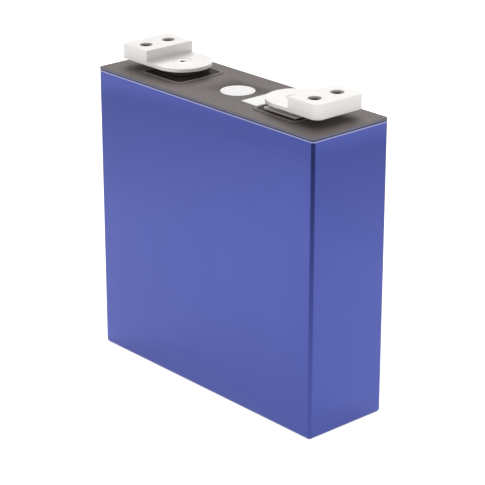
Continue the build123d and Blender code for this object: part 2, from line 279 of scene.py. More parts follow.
drawn_aluminium = grained_material("drawn_aluminium", (0.75, 0.76, 0.77), (900, 900, 12), 1.0, 0.34)
film_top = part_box("wrap_film")[1][2]
# Painted shade in the gap above the film's top edge.
recolour_by_height(drawn_aluminium, film_top - GAP_SHADE_FROM * MM, film_top - GAP_SHADE_FULL * MM, above=GAP_SHADE_DARK)
coat_node("can", drawn_aluminium)
rolled_aluminium = grained_material("rolled_aluminium", (0.77, 0.78, 0.79), (15, 1100, 1100), 1.0, 0.38)
coat_node("cover_plate", rolled_aluminium)
vent_foil = grained_material("vent_foil", (0.82, 0.82, 0.83), (40, 900, 900), 1.0, 0.28)
coat_node("burst_disc", vent_foil)
coat_node("fill_cap", vent_foil)


# ---------------------------------------------------------------------------
# Inside: two flat-wound cores in a film bag on a plastic support, with their
# foil tabs welded under the aluminium and copper collectors.
# ---------------------------------------------------------------------------
anode_coating = grained_material("anode_coating", (0.045, 0.045, 0.05), (400, 400, 400), 0.0, 0.75, 0.25)
cathode_coating = grained_material("cathode_coating", (0.075, 0.075, 0.085), (500, 500, 500), 0.0, 0.7, 0.2)
separator_film = grained_material("separator_film", (0.86, 0.86, 0.84), (60, 60, 700), 0.0, 0.5, 0.05)
winding_tape = grained_material("winding_tape", (0.1, 0.4, 0.22), (300, 300, 300), 0.0, 0.35, 0.1)
bag_film = grained_material("bag_film", (0.55, 0.6, 0.62), (25, 25, 25), 0.0, 0.3, 0.06, 0.4, 0.1)
support_plastic = grained_material("support_plastic", (0.8, 0.8, 0.77), (800, 800, 800), 0.0, 0.55, 0.05)
rubber_moulding = grained_material("rubber_moulding", (0.03, 0.03, 0.03), (1200, 1200, 1200), 0.0, 0.8, 0.2)
copper_sheet = grained_material("copper_sheet", (0.8, 0.42, 0.27), (20, 900, 900), 1.0, 0.32)
aluminium_sheet = grained_material("aluminium_sheet", (0.8, 0.8, 0.81), (20, 900, 900), 1.0, 0.35)
copper_foils = grained_material("copper_foils", (0.78, 0.42, 0.28), (8, 2500, 2500), 1.0, 0.4, 0.25, 0.5)
aluminium_foils = grained_material("aluminium_foils", (0.8, 0.8, 0.8), (8, 2500, 2500), 1.0, 0.4, 0.2, 0.5)

for core in ("front", "rear"):
    coat_node(f"{core}_core_anode", anode_coating)
    coat_node(f"{core}_core_cathode", cathode_coating)
    coat_node(f"{core}_core_separators", separator_film)
    coat_node(f"{core}_core_tape", winding_tape)
    coat_node(f"{core}_negative_tabs", copper_foils)
    coat_node(f"{core}_positive_tabs", aluminium_foils)
for pole_name in ("negative", "positive"):
    coat_node(f"{pole_name}_tab_tape", winding_tape)
    coat_node(f"{pole_name}_seal", rubber_moulding)
    coat_node(f"{pole_name}_lower_insulator", support_plastic)
coat_node("negative_collector", copper_sheet)
coat_node("positive_collector", aluminium_sheet)
coat_node("insulation_bag", bag_film)
coat_node("bottom_support", support_plastic)
coat_node("vent_baffle", support_plastic)
coat_node("fill_plug", rubber_moulding)


# ---------------------------------------------------------------------------
# Wrapping film: blue film wound once round the can, lapped on the far narrow
# side, rounded over the base and turned under it. Its top edge carries a pale painted
# highlight, and its blue is darkened with painted shade along the can's rounded corners.
# ---------------------------------------------------------------------------
FILM_T = 0.1
FILM_CORNER_R = 2.1
FILM_BASE_R = 1.2
FILM_LIP = 8.0
LAP_HALF = 5.0
LAP_STEP = 1.5
CORNER_STEPS = 10
EDGE_ROLL = 0.12
ROLL_MIDDLE = 0.25
ROLL_DEPTH = 0.6
WALL_LEVELS = 10
FLAT_STEPS = 12
BASE_STEPS = 6
# Painted highlight: a pale band painted along the film's top edge, from and to these depths.
EDGE_HIGHLIGHT_FROM = 1.0
EDGE_HIGHLIGHT_FULL = 0.85  # both below the top edge

film_low, film_high = (Vector(corner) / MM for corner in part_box("wrap_film"))


def corner_points(centre_x, centre_y, radius, first_quarter, steps):
    """Quarter circle, anticlockwise, from first_quarter right angles."""
    points = []
    for i in range(steps + 1):
        angle = (first_quarter + i / steps) * math.pi / 2
        points.append((centre_x + radius * math.cos(angle), centre_y + radius * math.sin(angle)))
    return points


def film_row(inset, z):
    """One level of the film: once round the can from under the lap to the end of the lap."""
    half_x = film_high.x - FILM_T - inset
    half_y = film_high.y - FILM_T - inset
    radius = max(FILM_CORNER_R - inset, 0.3)
    x = half_x - radius
    y = half_y - radius
    row = [(-half_x, LAP_HALF), (-half_x, 0.0), (-half_x, -LAP_HALF)]
    row += corner_points(-x, -y, radius, 2, CORNER_STEPS)
    row += [(-x + 2 * x * i / FLAT_STEPS, -half_y) for i in range(1, FLAT_STEPS)]
    row += corner_points(x, -y, radius, 3, CORNER_STEPS)
    row += corner_points(x, y, radius, 0, CORNER_STEPS)
    row += [(x - 2 * x * i / FLAT_STEPS, half_y) for i in range(1, FLAT_STEPS)]
    row += corner_points(-x, y, radius, 1, CORNER_STEPS)
    row += [(-half_x, LAP_HALF + LAP_STEP)]
    row += [(-half_x - FILM_T, LAP_HALF), (-half_x - FILM_T, 0.0), (-half_x - FILM_T, -LAP_HALF)]
    return [(px, py, z) for px, py in row]


def new_piece(name, bm, material, smooth=True):
    """Turns a bmesh in millimetres into a finished object at the origin."""
    bmesh.ops.scale(bm, vec=(MM, MM, MM), verts=bm.verts)
    mesh = bpy.data.meshes.new(name)
    bm.to_mesh(mesh)
    bm.free()
    mesh.materials.append(material)
    if smooth:
        mesh.shade_smooth()
    piece = bpy.data.objects.new(name, mesh)
    scene.collection.objects.link(piece)
    return piece


def skin_between(bm, rows, closed):
    """Quads between successive rows of points. Returns the rows' vertices."""
    rings = [[bm.verts.new(point) for point in row] for row in rows]
    for upper, lower in zip(rings, rings[1:]):
        count = len(upper) if closed else len(upper) - 1
        for i in range(count):
            j = (i + 1) % len(upper)
            bm.faces.new((upper[i], lower[i], lower[j], upper[j]))
    return rings


def apply_modifiers(piece):
    """Replaces the piece's mesh by its evaluated result and removes the modifiers."""
    bpy.context.view_layer.update()
    evaluated = piece.evaluated_get(bpy.context.evaluated_depsgraph_get())
    finished = bpy.data.meshes.new_from_object(evaluated)
    finished.name = piece.name
    piece.modifiers.clear()
    piece.data = finished


def thicken(piece, thickness_mm):
    """Gives a shell its wall, inwards from its outer face."""
    wall = piece.modifiers.new("wall", "SOLIDIFY")
    wall.thickness = thickness_mm * MM
    wall.offset = -1.0
    wall.use_even_offset = True
    apply_modifiers(piece)


film_rows = [film_row(EDGE_ROLL, film_high.z), film_row(EDGE_ROLL * 0.4, film_high.z - ROLL_MIDDLE)]
wall_top = film_high.z - ROLL_DEPTH
film_rows.append(film_row(0.0, wall_top))
wall_bottom = film_low.z + FILM_BASE_R
for level in range(1, WALL_LEVELS + 1):
    height = wall_top + (wall_bottom - wall_top) * level / WALL_LEVELS
    film_rows.append(film_row(0.0, height))
for step in range(1, BASE_STEPS + 1):
    turn = step / BASE_STEPS * math.pi / 2
    inset = FILM_BASE_R * (1 - math.cos(turn))
    film_rows.append(film_row(inset, wall_bottom - FILM_BASE_R * math.sin(turn)))
film_rows.append(film_row(FILM_LIP, film_low.z))


BAND_FROM = 0.08
BAND_FULL = 0.34  # both a product of the two sides' shares of the way round a corner


def paint_corner_shade(tree, split, colour):
    """Paints shade into a colour along the middle of the can's four rounded corners, most of all near the
    top.
    """
    nodes = tree.nodes
    links = tree.links
    reaches = []
    for axis, half in (("X", film_high.x), ("Y", film_high.y)):
        size = nodes.new("ShaderNodeMath")
        size.operation = "ABSOLUTE"
        links.new(split.outputs[axis], size.inputs[0])
        reach = mapped(
            tree, size.outputs["Value"],
            from_min=(half - FILM_CORNER_R - FILM_T) * MM, from_max=(half - FILM_T) * MM,
        )
        reaches.append(reach)
    bend = nodes.new("ShaderNodeMath")
    bend.operation = "MULTIPLY"
    links.new(reaches[0].outputs["Result"], bend.inputs[0])
    links.new(reaches[1].outputs["Result"], bend.inputs[1])
    band = mapped(tree, bend.outputs["Value"], BAND_FROM, BAND_FULL)
    band.interpolation_type = "SMOOTHSTEP"
    height = mapped(tree, split.outputs["Z"], from_max=film_high.z * MM, to_min=0.1, to_max=1.0)
    amount = nodes.new("ShaderNodeMath")
    amount.operation = "MULTIPLY"
    links.new(band.outputs["Result"], amount.inputs[0])
    links.new(height.outputs["Result"], amount.inputs[1])
    # Painted shade: near-black blue along the rounded corners, stronger towards the top.
    deep = mixed(tree, amount.outputs["Value"], colour, (0.0, 0.006, 0.075, 1.0))
    return deep.outputs[2]


def film_material():
    """Dyed polyester film: even blue, faint ripples in the gloss, a pale band painted at the top edge as a
    painted highlight, and painted shade along the corners.
    """
    material, tree, shader, coordinates = plain_material("blue_film")
    nodes = tree.nodes
    links = tree.links
    split = nodes.new("ShaderNodeSeparateXYZ")
    links.new(coordinates, split.inputs["Vector"])
    # Painted highlight along the film's top edge.
    edge = mapped(
        tree, split.outputs["Z"],
        from_min=(film_high.z - EDGE_HIGHLIGHT_FROM) * MM, from_max=(film_high.z - EDGE_HIGHLIGHT_FULL) * MM,
    )
    cloud = noise(tree, coordinates, 30.0, detail=4.0)
    dye = mixed(tree, cloud.outputs["Fac"], (0.053, 0.073, 0.318, 1.0), (0.059, 0.081, 0.343, 1.0))
    corner_shaded = paint_corner_shade(tree, split, dye.outputs[2])
    edge_highlit = mixed(tree, edge.outputs["Result"], corner_shaded, (0.27, 0.285, 0.49, 1.0))
    links.new(edge_highlit.outputs[2], shader.inputs["Base Color"])
    ripples = noise(tree, coordinates, 55.0, detail=2.0)
    fine = noise(tree, coordinates, 1400.0)
    gloss = mapped(tree, cloud.outputs["Fac"], to_min=0.18, to_max=0.24)
    links.new(gloss.outputs["Result"], shader.inputs["Roughness"])
    waves = bumped(tree, ripples.outputs["Fac"], 0.25, 0.0003)
    grain = bumped(tree, fine.outputs["Fac"], 0.08, 0.00003)
    links.new(waves.outputs["Normal"], grain.inputs["Normal"])
    links.new(grain.outputs["Normal"], shader.inputs["Normal"])
    shader.inputs["Metallic"].default_value = 0.6
    return material


film_bm = bmesh.new()
skin_between(film_bm, film_rows, closed=False)
wrap_film = new_piece("film_wrap", film_bm, film_material())
thicken(wrap_film, FILM_T)
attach(wrap_film, "root")
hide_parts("wrap_film")


# ---------------------------------------------------------------------------
# Base sheet: die-cut insulating sheet stuck under the can, over the film's
# turned edges. Plain black polyester with a fine matt grain.
# ---------------------------------------------------------------------------
BASE_SHEET_R = 1.2
BASE_EDGE = 0.08


def rounded_ring(half_x, half_y, radius, z, centre_x=0.0, steps=CORNER_STEPS):
    """Rounded rectangle at one height, anticlockwise."""
    x = half_x - radius
    y = half_y - radius
    flat = []
    for quarter, (sx, sy) in enumerate(((1, 1), (-1, 1), (-1, -1), (1, -1))):
        flat += corner_points(sx * x, sy * y, radius, quarter, steps)
    return [(centre_x + px, py, z) for px, py in flat]


def closed_solid(bm, rows):
    """Solid through rows of points given from the top down."""
    rings = skin_between(bm, rows, closed=True)
    bm.faces.new(rings[0])
    bm.faces.new(tuple(reversed(rings[-1])))
    return rings


def round_edges(piece, width_mm, steps=3, angle=40.0):
    """Breaks the piece's sharp edges."""
    bevel = piece.modifiers.new("edges", "BEVEL")
    bevel.width = width_mm * MM
    bevel.segments = steps
    bevel.limit_method = "ANGLE"
    bevel.angle_limit = math.radians(angle)
    bevel.harden_normals = True
    apply_modifiers(piece)


sheet_low, sheet_high = (Vector(corner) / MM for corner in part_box("bottom_sheet"))
base_bm = bmesh.new()
closed_solid(base_bm, [
    rounded_ring(sheet_high.x, sheet_high.y, BASE_SHEET_R, sheet_high.z),
    rounded_ring(sheet_high.x, sheet_high.y, BASE_SHEET_R, sheet_low.z),
])
base_polyester = grained_material(
    "base_polyester", (0.035, 0.035, 0.04), (1500, 1500, 1500), 0.0, 0.6, 0.2, 0.3)
base_sheet = new_piece("base_sheet", base_bm, base_polyester, smooth=False)
round_edges(base_sheet, BASE_EDGE, 2)
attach(base_sheet, "root")
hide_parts("bottom_sheet")


# ---------------------------------------------------------------------------
# Top sheet: grey sheet pressed to shape over the cover. A soft ridge frames
# each terminal seat and a short skirt turns down over the can's edge.
# ---------------------------------------------------------------------------
SHEET_T = 0.25
SHEET_CORNER_R = 2.2
SHEET_EDGE_R = 0.4
SKIRT_LIFT = 0.2
SKIRT_STEPS = 4
SEAT_OPENING = 15.0
SEAT_OPENING_R = 2.5
RIDGE = ((0.0, 0.20), (0.3, 0.52), (0.7, 0.80), (1.1, 0.90), (1.5, 0.86), (1.8, 0.66),
         (2.1, 0.34), (2.4, 0.12), (2.8, 0.02), (3.2, 0.0))  # distance from the opening, height
VENT_HOLE_R = 8.2
VENT_HOLE_STEPS = 64

top_low, top_high = (Vector(corner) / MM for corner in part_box("top_sheet"))
sheet_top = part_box("vent_cover")[0][2] / MM
seat_x = (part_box("transition_plate")[0][0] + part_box("transition_plate")[1][0]) / 2 / MM


def ridge_rows(side):
    """Rounded squares round one seat, from its edge out to the flat sheet."""
    rows = []
    for distance, height in RIDGE:
        half = SEAT_OPENING + distance
        rows.append(rounded_ring(half, half, SEAT_OPENING_R + distance, sheet_top + height, side * seat_x))
    return rows


sheet_bm = bmesh.new()
borders = []
for side in (-1, 1):
    rings = skin_between(sheet_bm, list(reversed(ridge_rows(side))), closed=True)
    borders.append(rings[0])
vent_edge = []
for i in range(VENT_HOLE_STEPS):
    angle = 2 * math.pi * i / VENT_HOLE_STEPS
    point = (VENT_HOLE_R * math.cos(angle), VENT_HOLE_R * math.sin(angle), sheet_top)
    vent_edge.append(sheet_bm.verts.new(point))
borders.append(vent_edge)
skirt_rows = []
for step in range(SKIRT_STEPS + 1):
    turn = step / SKIRT_STEPS * math.pi / 2
    inset = SHEET_EDGE_R * (1 - math.sin(turn))
    drop = SHEET_EDGE_R * (1 - math.cos(turn))
    skirt_rows.append(rounded_ring(
        top_high.x - inset, top_high.y - inset, SHEET_CORNER_R - inset, sheet_top - drop))
skirt_rows.append(rounded_ring(top_high.x, top_high.y, SHEET_CORNER_R, top_low.z + SKIRT_LIFT))
borders.append(skin_between(sheet_bm, skirt_rows, closed=True)[0])
flat_edges = []
for border in borders:
    for start, end in zip(border, border[1:] + border[:1]):
        edge = sheet_bm.edges.get((start, end))
        if edge is None:
            edge = sheet_bm.edges.new((start, end))
        flat_edges.append(edge)
bmesh.ops.triangle_fill(sheet_bm, use_beauty=True, edges=flat_edges, normal=(0, 0, 1))
bmesh.ops.recalc_face_normals(sheet_bm, faces=sheet_bm.faces)


def sheet_material():
    """Warm grey pressed plastic: matt grain, faint clouds, painted shade at the foot of the ridges and a
    painted highlight towards their crests, a cooler skirt.
    """
    material, tree, shader, coordinates = plain_material("pressed_sheet")
    nodes = tree.nodes
    links = tree.links
    cloud = noise(tree, coordinates, 28.0, detail=5.0)
    grey = mixed(tree, cloud.outputs["Fac"], (0.200, 0.172, 0.163, 1.0), (0.230, 0.199, 0.189, 1.0))
    split = nodes.new("ShaderNodeSeparateXYZ")
    links.new(coordinates, split.inputs["Vector"])
    rise = mapped(tree, split.outputs["Z"], from_min=sheet_top * MM, from_max=top_high.z * MM)
    # Painted shade at each ridge's foot and a painted highlight towards its crest, by height above the flat
    # sheet.
    ridge_shade = nodes.new("ShaderNodeValToRGB")
    ridge_shade.color_ramp.elements[0].color = (0.74, 0.74, 0.74, 1.0)
    ridge_shade.color_ramp.elements[1].color = (1.0, 1.0, 1.0, 1.0)
    for position, shade in ((0.03, 0.74), (0.08, 0.50), (0.40, 0.55), (0.75, 0.95)):
        stop = ridge_shade.color_ramp.elements.new(position)
        stop.color = (shade, shade, shade, 1.0)
    links.new(rise.outputs["Result"], ridge_shade.inputs["Fac"])
    pressed = nodes.new("ShaderNodeMix")
    pressed.data_type = "RGBA"
    pressed.blend_type = "MULTIPLY"
    pressed.inputs["Factor"].default_value = 1.0
    links.new(grey.outputs[2], pressed.inputs[6])
    links.new(ridge_shade.outputs["Color"], pressed.inputs[7])
    skirt = mapped(
        tree, split.outputs["Z"],
        from_min=(sheet_top - 0.1) * MM, from_max=(sheet_top - 0.35) * MM,
    )
    cooled = mixed(tree, skirt.outputs["Result"], pressed.outputs[2], (0.14, 0.14, 0.21, 1.0))
    links.new(cooled.outputs[2], shader.inputs["Base Color"])
    pebble = noise(tree, coordinates, 1100.0, detail=3.0)
    relief = bumped(tree, pebble.outputs["Fac"], 0.6, 0.00012)
    links.new(relief.outputs["Normal"], shader.inputs["Normal"])
    gloss = mapped(tree, cloud.outputs["Fac"], to_min=0.50, to_max=0.62)
    links.new(gloss.outputs["Result"], shader.inputs["Roughness"])
    shader.inputs["Specular IOR Level"].default_value = 0.25
    return material


top_sheet = new_piece("pressed_top_sheet", sheet_bm, sheet_material())
thicken(top_sheet, SHEET_T)
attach(top_sheet, "root")
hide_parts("top_sheet")


# ---------------------------------------------------------------------------
# Vent cover: thin white film disc stuck over the vent. It sags a little into
# the sheet's hole, so the vent's rim shows through as faint rings.
# ---------------------------------------------------------------------------
VENT_STEPS = 96
RING_REACH = 10.0


def turned_solid(bm, profile, centre_x=0.0, steps=64):
    """Solid of revolution about an upright axis, through (radius, height) from the top centre down."""
    rows = []
    for radius, height in profile:
        if radius > 0:
            angles = [2 * math.pi * i / steps for i in range(steps)]
            rows.append([(centre_x + radius * math.cos(a), radius * math.sin(a), height) for a in angles])
    rings = skin_between(bm, rows, closed=True)
    for ring, (radius, height) in ((rings[0], profile[0]), (rings[-1], profile[-1])):
        centre = bm.verts.new((centre_x, 0.0, height))
        for i in range(steps):
            bm.faces.new((ring[i], ring[(i + 1) % steps], centre))
    bmesh.ops.recalc_face_normals(bm, faces=bm.faces)


def vent_film_material():
    """White polyester film with faint grey rings where it lies on the vent's rim."""
    material, tree, shader, coordinates = plain_material("vent_film")
    nodes = tree.nodes
    links = tree.links
    flatten = nodes.new("ShaderNodeVectorMath")
    flatten.operation = "MULTIPLY"
    flatten.inputs[1].default_value = (1.0, 1.0, 0.0)
    links.new(coordinates, flatten.inputs[0])
    reach = nodes.new("ShaderNodeVectorMath")
    reach.operation = "LENGTH"
    links.new(flatten.outputs["Vector"], reach.inputs[0])
    rings = nodes.new("ShaderNodeValToRGB")
    rings.color_ramp.elements[0].position = 0.0
    rings.color_ramp.elements[0].color = (0.90, 0.89, 0.88, 1.0)
    rings.color_ramp.elements[1].position = 1.0
    rings.color_ramp.elements[1].color = (0.95, 0.945, 0.94, 1.0)
    for radius_mm, shade in ((4.6, 0.90), (5.0, 0.78), (5.4, 0.91), (7.3, 0.91), (7.8, 0.76), (8.3, 0.94)):
        stop = rings.color_ramp.elements.new(radius_mm / RING_REACH)
        stop.color = (shade, shade * 0.985, shade * 0.97, 1.0)
    scale = nodes.new("ShaderNodeMath")
    scale.operation = "MULTIPLY"
    scale.inputs[1].default_value = 1.0 / (RING_REACH * MM)
    links.new(reach.outputs["Value"], scale.inputs[0])
    links.new(scale.outputs["Value"], rings.inputs["Fac"])
    links.new(rings.outputs["Color"], shader.inputs["Base Color"])
    crinkle = noise(tree, coordinates, 260.0)
    relief = bumped(tree, crinkle.outputs["Fac"], 0.35, 0.0001)
    links.new(relief.outputs["Normal"], shader.inputs["Normal"])
    shader.inputs["Roughness"].default_value = 0.4
    return material


cover_low, cover_high = (Vector(corner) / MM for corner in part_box("vent_cover"))
cover_r = cover_high.x
cover_bm = bmesh.new()
turned_solid(cover_bm, [
    (2.0, cover_high.z - 0.06),
    (5.0, cover_high.z - 0.05),
    (7.2, cover_high.z - 0.05),
    (7.9, cover_high.z - 0.01),
    (8.4, cover_high.z),
    (cover_r - 0.1, cover_high.z),
    (cover_r, cover_high.z - 0.06),
    (cover_r, cover_low.z),
    (8.2, cover_low.z),
    (7.4, cover_low.z - 0.05),
    (2.0, cover_low.z - 0.06),
], steps=VENT_STEPS)
vent_cover = new_piece("vent_film_disc", cover_bm, vent_film_material())
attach(vent_cover, "root")
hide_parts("vent_cover")


# ---------------------------------------------------------------------------
# Label: small blank paper label on the sheet, partly under one terminal.
# Its free corners lift slightly.
# ---------------------------------------------------------------------------
LABEL_STEPS = 12
LABEL_LIFT = 0.12

label_low, label_high = (Vector(corner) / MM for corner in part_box("blank_label"))
label_bm = bmesh.new()
label_rows = []
for row in range(LABEL_STEPS + 1):
    along = row / LABEL_STEPS
    y = label_high.y + (label_low.y - label_high.y) * along
    points = []
    for column in range(LABEL_STEPS + 1):
        across = column / LABEL_STEPS
        x = label_low.x + (label_high.x - label_low.x) * across
        lift = LABEL_LIFT * (1 - across) ** 4 * abs(2 * along - 1) ** 6
        points.append((x, y, label_high.z + lift))
    label_rows.append(points)
skin_between(label_bm, label_rows, closed=False)
bmesh.ops.recalc_face_normals(label_bm, faces=label_bm.faces)
for face in label_bm.faces:
    if face.normal.z < 0:
        face.normal_flip()
label_paper = grained_material("label_paper", (0.93, 0.925, 0.91), (900, 900, 900), 0.0, 0.55, 0.03, 0.25)
blank_label = new_piece("plain_label", label_bm, label_paper)
thicken(blank_label, label_high.z - label_low.z)
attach(blank_label, "root")
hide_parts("blank_label")


# ---------------------------------------------------------------------------
# Seats: black moulded squares let into the cover under the terminals. The
# positive one has a pad and a round boss moulded on it, the negative is flat.
# ---------------------------------------------------------------------------
SEAT_HALF = 14.9
SEAT_R = 2.5
PAD_HALF = 12.3
PAD_T = 1.0
PAD_R = 5.5
BOSS_R = 10.5
SEAT_EDGE = 0.25

clad_low, clad_high = (Vector(corner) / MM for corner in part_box("transition_plate"))
seat_top = clad_low.z
pad_top = seat_top + PAD_T


def pad_and_boss(centre_x, pad_r, low_z, high_z):
    """Rows of the square pad and the round boss on it, from the top down."""
    return [
        rounded_ring(BOSS_R, BOSS_R, BOSS_R, high_z, centre_x),
        rounded_ring(BOSS_R, BOSS_R, BOSS_R, low_z + PAD_T, centre_x),
        rounded_ring(PAD_HALF, PAD_HALF, pad_r, low_z + PAD_T, centre_x),
        rounded_ring(PAD_HALF, PAD_HALF, pad_r, low_z, centre_x),
    ]


black_moulding = grained_material(
    "black_moulding", (0.052, 0.043, 0.041), (1300, 1300, 1300), 0.0, 0.6, 0.2, 0.25)
black_moulding.node_tree.nodes["Principled BSDF"].inputs["Specular IOR Level"].default_value = 0.15
for pole_name, side in (("positive", -1), ("negative", 1)):
    node = f"{pole_name}_upper_insulator"
    low, high = (Vector(corner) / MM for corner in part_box(node))
    rows = []
    if high.z > seat_top + 0.1:
        rows = pad_and_boss(side * seat_x, PAD_R, seat_top, high.z)
    rows.append(rounded_ring(SEAT_HALF, SEAT_HALF, SEAT_R, seat_top, side * seat_x))
    rows.append(rounded_ring(SEAT_HALF, SEAT_HALF, SEAT_R, low.z, side * seat_x))
    seat_bm = bmesh.new()
    closed_solid(seat_bm, rows)
    seat = new_piece(f"{pole_name}_seat", seat_bm, black_moulding, smooth=False)
    round_edges(seat, SEAT_EDGE)
    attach(seat, "root")
    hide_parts(node)


# ---------------------------------------------------------------------------
# Clad plate: square of copper-backed aluminium with a round boss, between the
# flat seat and the negative terminal. The sheared edge shows both metals, and
# the metal boss is painted near black as painted shade under the terminal plate.
# ---------------------------------------------------------------------------
CLAD_R = 0.8
CLAD_EDGE = 0.15
STREAK = 0.6


def clad_material(bottom, top):
    """Aluminium over copper, by height, with the shear's upright streaks and painted shade on the boss
    above the pad.
    """
    material, tree, shader, coordinates = plain_material("clad_metal")
    nodes = tree.nodes
    links = tree.links
    split = nodes.new("ShaderNodeSeparateXYZ")
    links.new(coordinates, split.inputs["Vector"])
    mapping = nodes.new("ShaderNodeMapping")
    mapping.inputs["Scale"].default_value = (900.0, 900.0, 60.0)
    links.new(coordinates, mapping.inputs["Vector"])
    streaks = noise(tree, mapping.outputs["Vector"], 1.0, detail=4.0)
    smear = nodes.new("ShaderNodeMath")
    smear.operation = "MULTIPLY_ADD"
    smear.inputs[1].default_value = STREAK * MM
    links.new(streaks.outputs["Fac"], smear.inputs[0])
    links.new(split.outputs["Z"], smear.inputs[2])
    layer = mapped(
        tree, smear.outputs["Value"],
        from_min=(bottom + 0.45 * (top - bottom) + STREAK / 2) * MM,
        from_max=(bottom + 0.65 * (top - bottom) + STREAK / 2) * MM,
    )
    metals = mixed(tree, layer.outputs["Result"], (0.86, 0.64, 0.53, 1.0), (0.95, 0.93, 0.91, 1.0))
    # Painted shade: the metal boss above the pad is painted near black, for the shadow under the terminal
    # plate.
    boss_shade = mapped(tree, split.outputs["Z"], from_min=(top + 0.10) * MM, from_max=(top + 0.25) * MM)
    boss_shaded = mixed(tree, boss_shade.outputs["Result"], metals.outputs[2], (0.02, 0.02, 0.02, 1.0))
    links.new(boss_shaded.outputs[2], shader.inputs["Base Color"])
    relief = bumped(tree, streaks.outputs["Fac"], 0.4, 0.0001)
    links.new(relief.outputs["Normal"], shader.inputs["Normal"])
    shader.inputs["Metallic"].default_value = 0.05
    shader.inputs["Roughness"].default_value = 0.5
    return material


clad_bm = bmesh.new()
closed_solid(clad_bm, pad_and_boss(seat_x, CLAD_R, clad_low.z, clad_high.z))
clad_plate = new_piece("clad_plate", clad_bm, clad_material(seat_top, pad_top), smooth=False)
round_edges(clad_plate, CLAD_EDGE)
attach(clad_plate, "root")
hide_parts("transition_plate")


# ---------------------------------------------------------------------------
# Terminals: one machined aluminium piece for each pole, a half-round plate
# that runs into a block. Fine blasted skin, broken edges, two tapped holes.
# ---------------------------------------------------------------------------
PLATE_R = 16.5
BLOCK_LENGTH = 21.5
WIDE_R = 4.5
NARROW_R = 2.0
ROOT_R = 1.2
HOLE_FROM_END = 10.7
HOLE_SPACING = 16.0
THREAD_R = 3.0
HOLE_DEPTH = 6.6
SINK_R = 3.7
SINK_DEPTH = 0.8
POLE_R = 5.5
BLOCK_EDGE = 0.35
PLATE_STEPS = 60
PLATE_OVERLAP = 4.0
ROOT_STEPS = 8
BORE_SHADE_DARK = (0.015, 0.014, 0.013, 1.0)


def blasted_material(name):
    """Near-white blasted aluminium with a fine pitted skin and faint handling marks."""
    material, tree, shader, coordinates = plain_material(name)
    links = tree.links
    patches = noise(tree, coordinates, 90.0, detail=6.0)
    skin = mixed(tree, patches.outputs["Fac"], (0.765, 0.742, 0.725, 1.0), (0.825, 0.802, 0.785, 1.0))
    links.new(skin.outputs[2], shader.inputs["Base Color"])
    gloss = mapped(tree, patches.outputs["Fac"], to_min=0.36, to_max=0.50)
    links.new(gloss.outputs["Result"], shader.inputs["Roughness"])
    pits = noise(tree, coordinates, 1500.0, detail=2.0)
    relief = bumped(tree, pits.outputs["Fac"], 0.5, 0.00010)
    links.new(relief.outputs["Normal"], shader.inputs["Normal"])
    shader.inputs["Metallic"].default_value = 0.45
    return material


blasted_aluminium = blasted_material("blasted_aluminium")


def outline_solid(name, outline, bottom, top, material):
    """Upright prism through a flat outline."""
    bm = bmesh.new()
    closed_solid(bm, [[(x, y, top) for x, y in outline], [(x, y, bottom) for x, y in outline]])
    return new_piece(name, bm, material, smooth=False)


def combine(piece, tool, operation):
    """Adds or cuts one solid with another, then drops the tool."""
    join = piece.modifiers.new("join", "BOOLEAN")
    join.operation = operation
    join.solver = "EXACT"
    join.material_mode = "TRANSFER"
    join.object = tool
    apply_modifiers(piece)
    bpy.data.objects.remove(tool)


def bore_material(name, dark_z, light_z):
    """Cut metal with painted shade: dark below one height and its own colour above another."""
    material = grained_material(name, (0.62, 0.60, 0.585), (400, 400, 900), 0.7, 0.45, 0.15, 0.3)
    recolour_by_height(material, dark_z * MM, light_z * MM, below=BORE_SHADE_DARK)
    return material


block_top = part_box("negative_terminal")[1][2] / MM
# Painted shade inside the tapped holes, darkest from 1.6 mm below the block's top.
bore_metal = bore_material("bore_metal", block_top - 1.6, block_top - 0.6)


def drill(piece, x, y, profile, cut_below):
    """Cuts a turned hole at (x, y), with cut metal on its sides below the given height."""
    bm = bmesh.new()
    turned_solid(bm, profile, steps=48)
    for face in bm.faces:
        if face.calc_center_median().z < cut_below:
            face.material_index = 1
    bmesh.ops.translate(bm, vec=(x, y, 0.0), verts=bm.verts)
    tool = new_piece("drill", bm, blasted_aluminium, smooth=False)
    tool.data.materials.append(bore_metal)
    combine(piece, tool, "DIFFERENCE")


def half_turn(points, side):
    """Points of the +X terminal, turned for the other end where side is -1."""
    return [(side * x, side * y) for x, y in points]


def root_fillet(side, inner, plate_top):
    """Bar with a hollow quarter round, for the inner corner between plate and block."""
    section = [(inner + 0.5, plate_top - 0.5), (inner - ROOT_R, plate_top - 0.5)]
    for i in range(ROOT_STEPS + 1):
        angle = i / ROOT_STEPS * math.pi / 2
        section.append((inner - ROOT_R * (1 - math.sin(angle)), plate_top + ROOT_R * (1 - math.cos(angle))))
    section.append((inner + 0.5, plate_top + ROOT_R))
    bm = bmesh.new()
    ends = []
    for y in (-PLATE_R, PLATE_R):
        ends.append([(side * x, side * y, z) for x, z in section])
    closed_solid(bm, ends)
    bmesh.ops.recalc_face_normals(bm, faces=bm.faces)
    return new_piece("root", bm, blasted_aluminium, smooth=False)


